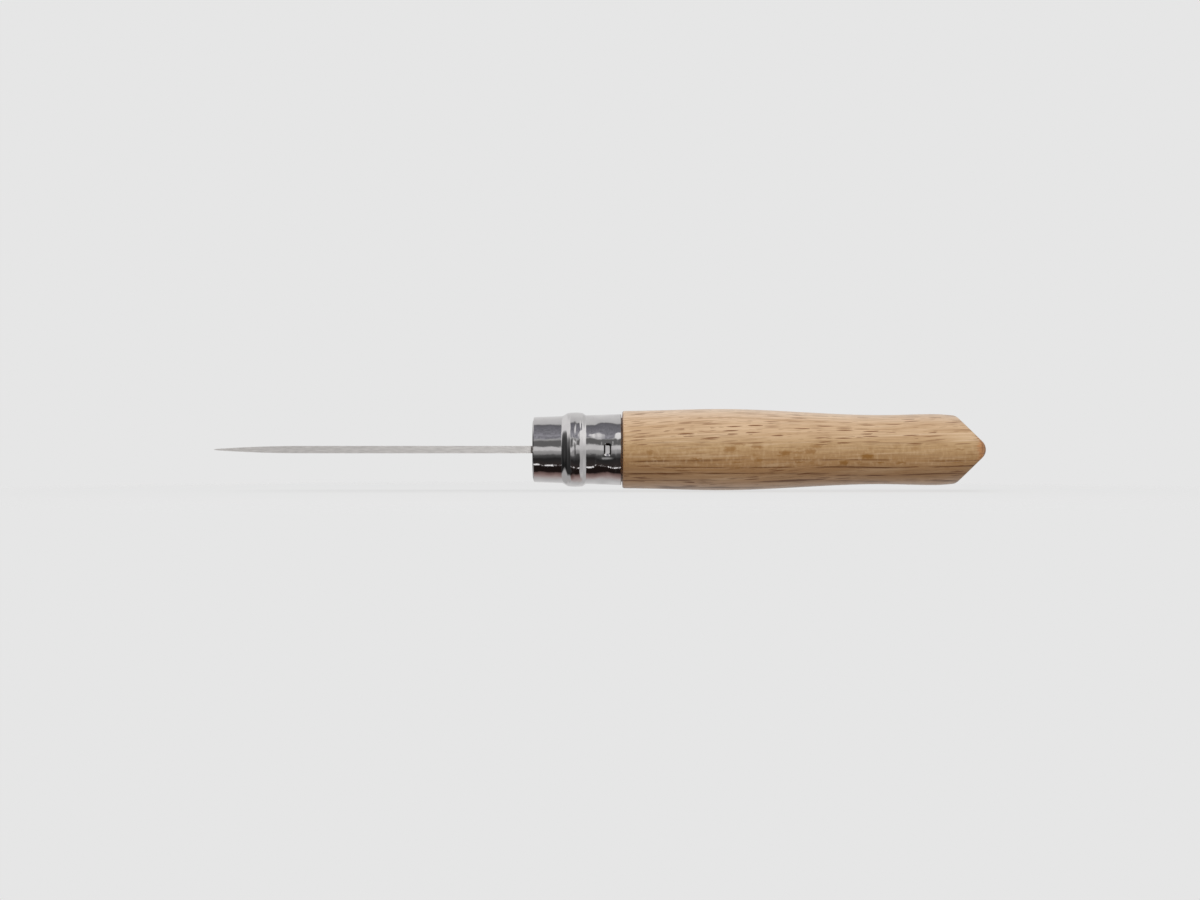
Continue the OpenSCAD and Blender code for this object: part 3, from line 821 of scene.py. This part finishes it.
def studio_ahead(graph, way, angle, smears):
    """Light from the camera's side, above and below, with a warm band, glints and a cool ceiling."""
    clutter = graph.minus(graph.noise(way, CLUTTER_CELL, 2.0), 0.5)
    uneven = graph.total(angle, graph.times(clutter, CLUTTER_ANGLE))
    light = graph.grey_ramp(uneven, LIGHT_AHEAD)
    light = graph.mix(graph.band(angle, *WARM_BAND), light, WARM_TINT, "MULTIPLY")
    broken = graph.smooth(graph.noise(way, GLINT_CELL, 0.0), 0.5, 0.56)
    glints = graph.times(graph.band(angle, *GLINT_BAND), broken)
    light = graph.mix(glints, light, grey(GLINT_LEVEL))
    ceiling = graph.band(angle, *CEILING_BAND)
    light = graph.mix(graph.times(ceiling, smears), light, grey(CEILING_SMEAR_LEVEL))
    return graph.mix(ceiling, light, COOL_TINT, "MULTIPLY")


def studio_left(graph, x, angle):
    """Share and tone of the side in -X: dark under a rising line, grey underfoot, dark at the end."""
    share = graph.smooth(x, *LEFT_FROM)
    rising = graph.total(graph.times(x, LEFT_LINE_RISE), LEFT_LINE_AT)
    tone = graph.grey_ramp(graph.minus(angle, rising), LIGHT_LEFT)
    tone = graph.mix(graph.smooth(angle, *UNDERFOOT), tone, grey(UNDERFOOT_LEVEL))
    return share, graph.mix(graph.smooth(x, *FAR_END_FROM), tone, grey(FAR_END_LEVEL))


def studio_right(graph, x, angle, smears):
    """Share and tone of the side in +X: bright all over, and wider in one band high up."""
    wider = graph.times(graph.band(angle, *WIDE_BAND), RIGHT_WIDER)
    share = graph.smooth(graph.total(x, wider), *RIGHT_FROM)
    tone = graph.grey_ramp(angle, LIGHT_RIGHT)
    return share, graph.tint(tone, grey(RIGHT_SMEAR_LEVEL), 0.25, smears)


def make_world():
    """Pale backdrop behind the knife; polished metal also mirrors the studio in front of it."""
    world = bpy.data.worlds.new("studio")
    bpy.context.scene.world = world
    world.use_nodes = True
    graph = Graph(world.node_tree)
    way = graph.node("TexCoord").outputs["Generated"]
    x, y, z = graph.axes(way)
    angle = graph.math("DEGREES", graph.math("ARCTAN2", z, graph.times(y, -1.0)))
    smears = graph.smooth(graph.noise(way, SMEAR_CELL, 3.0), 0.4, 0.7)
    studio = studio_ahead(graph, way, angle, smears)
    for share, tone in (studio_left(graph, x, angle), studio_right(graph, x, angle, smears)):
        studio = graph.mix(share, studio, tone)

    path = graph.node("LightPath").outputs
    shown = graph.largest(path["Is Camera Ray"], path["Is Transmission Ray"])
    fill = graph.mix(graph.smooth(z, *BELOW_FROM), grey(AMBIENT), grey(AMBIENT_BELOW))
    colour = graph.mix(shown, fill, grey(PALE))
    colour = graph.mix(path["Is Glossy Ray"], colour, studio)
    back = graph.node("Background", {"Color": colour})
    graph.node("OutputWorld", {"Surface": back.outputs[0]})


def softbox(name, angle, watts):
    """Soft lamp aimed at the knife, at an angle above the line of sight to the camera."""
    lamp = bpy.data.lights.new(name, "AREA")
    lamp.shape = "RECTANGLE"
    lamp.size = LAMP_W
    lamp.size_y = LAMP_H
    lamp.energy = watts
    made = bpy.data.objects.new(name, lamp)
    rise = math.radians(angle)
    outward = Vector((0.0, -math.cos(rise), math.sin(rise)))
    made.location = outward * LAMP_AWAY
    made.rotation_euler = outward.to_track_quat("Z", "Y").to_euler()
    made.visible_glossy = False
    bpy.context.scene.collection.objects.link(made)


def make_camera():
    data = bpy.data.cameras.new("camera")
    data.sensor_width = SENSOR_MM
    data.lens = PIXELS_PER_MM * MM * CAMERA_TO_AXIS / IMAGE_PIXELS * SENSOR_MM
    camera = bpy.data.objects.new("camera", data)
    camera.location = AXIS + Vector((AIM_BEHIND_PIVOT, -CAMERA_TO_AXIS, -AIM_BELOW_AXIS))
    camera.rotation_euler = (math.radians(90), 0, 0)
    bpy.context.scene.collection.objects.link(camera)
    bpy.context.scene.camera = camera


bpy.context.scene.view_settings.view_transform = "Standard"
make_camera()
make_handle()
make_blade()
make_ring()
make_inner_steel()
make_floor()
make_world()
softbox("key_softbox", KEY_ANGLE, KEY_WATTS)
softbox("rear_softbox", REAR_ANGLE, REAR_WATTS)
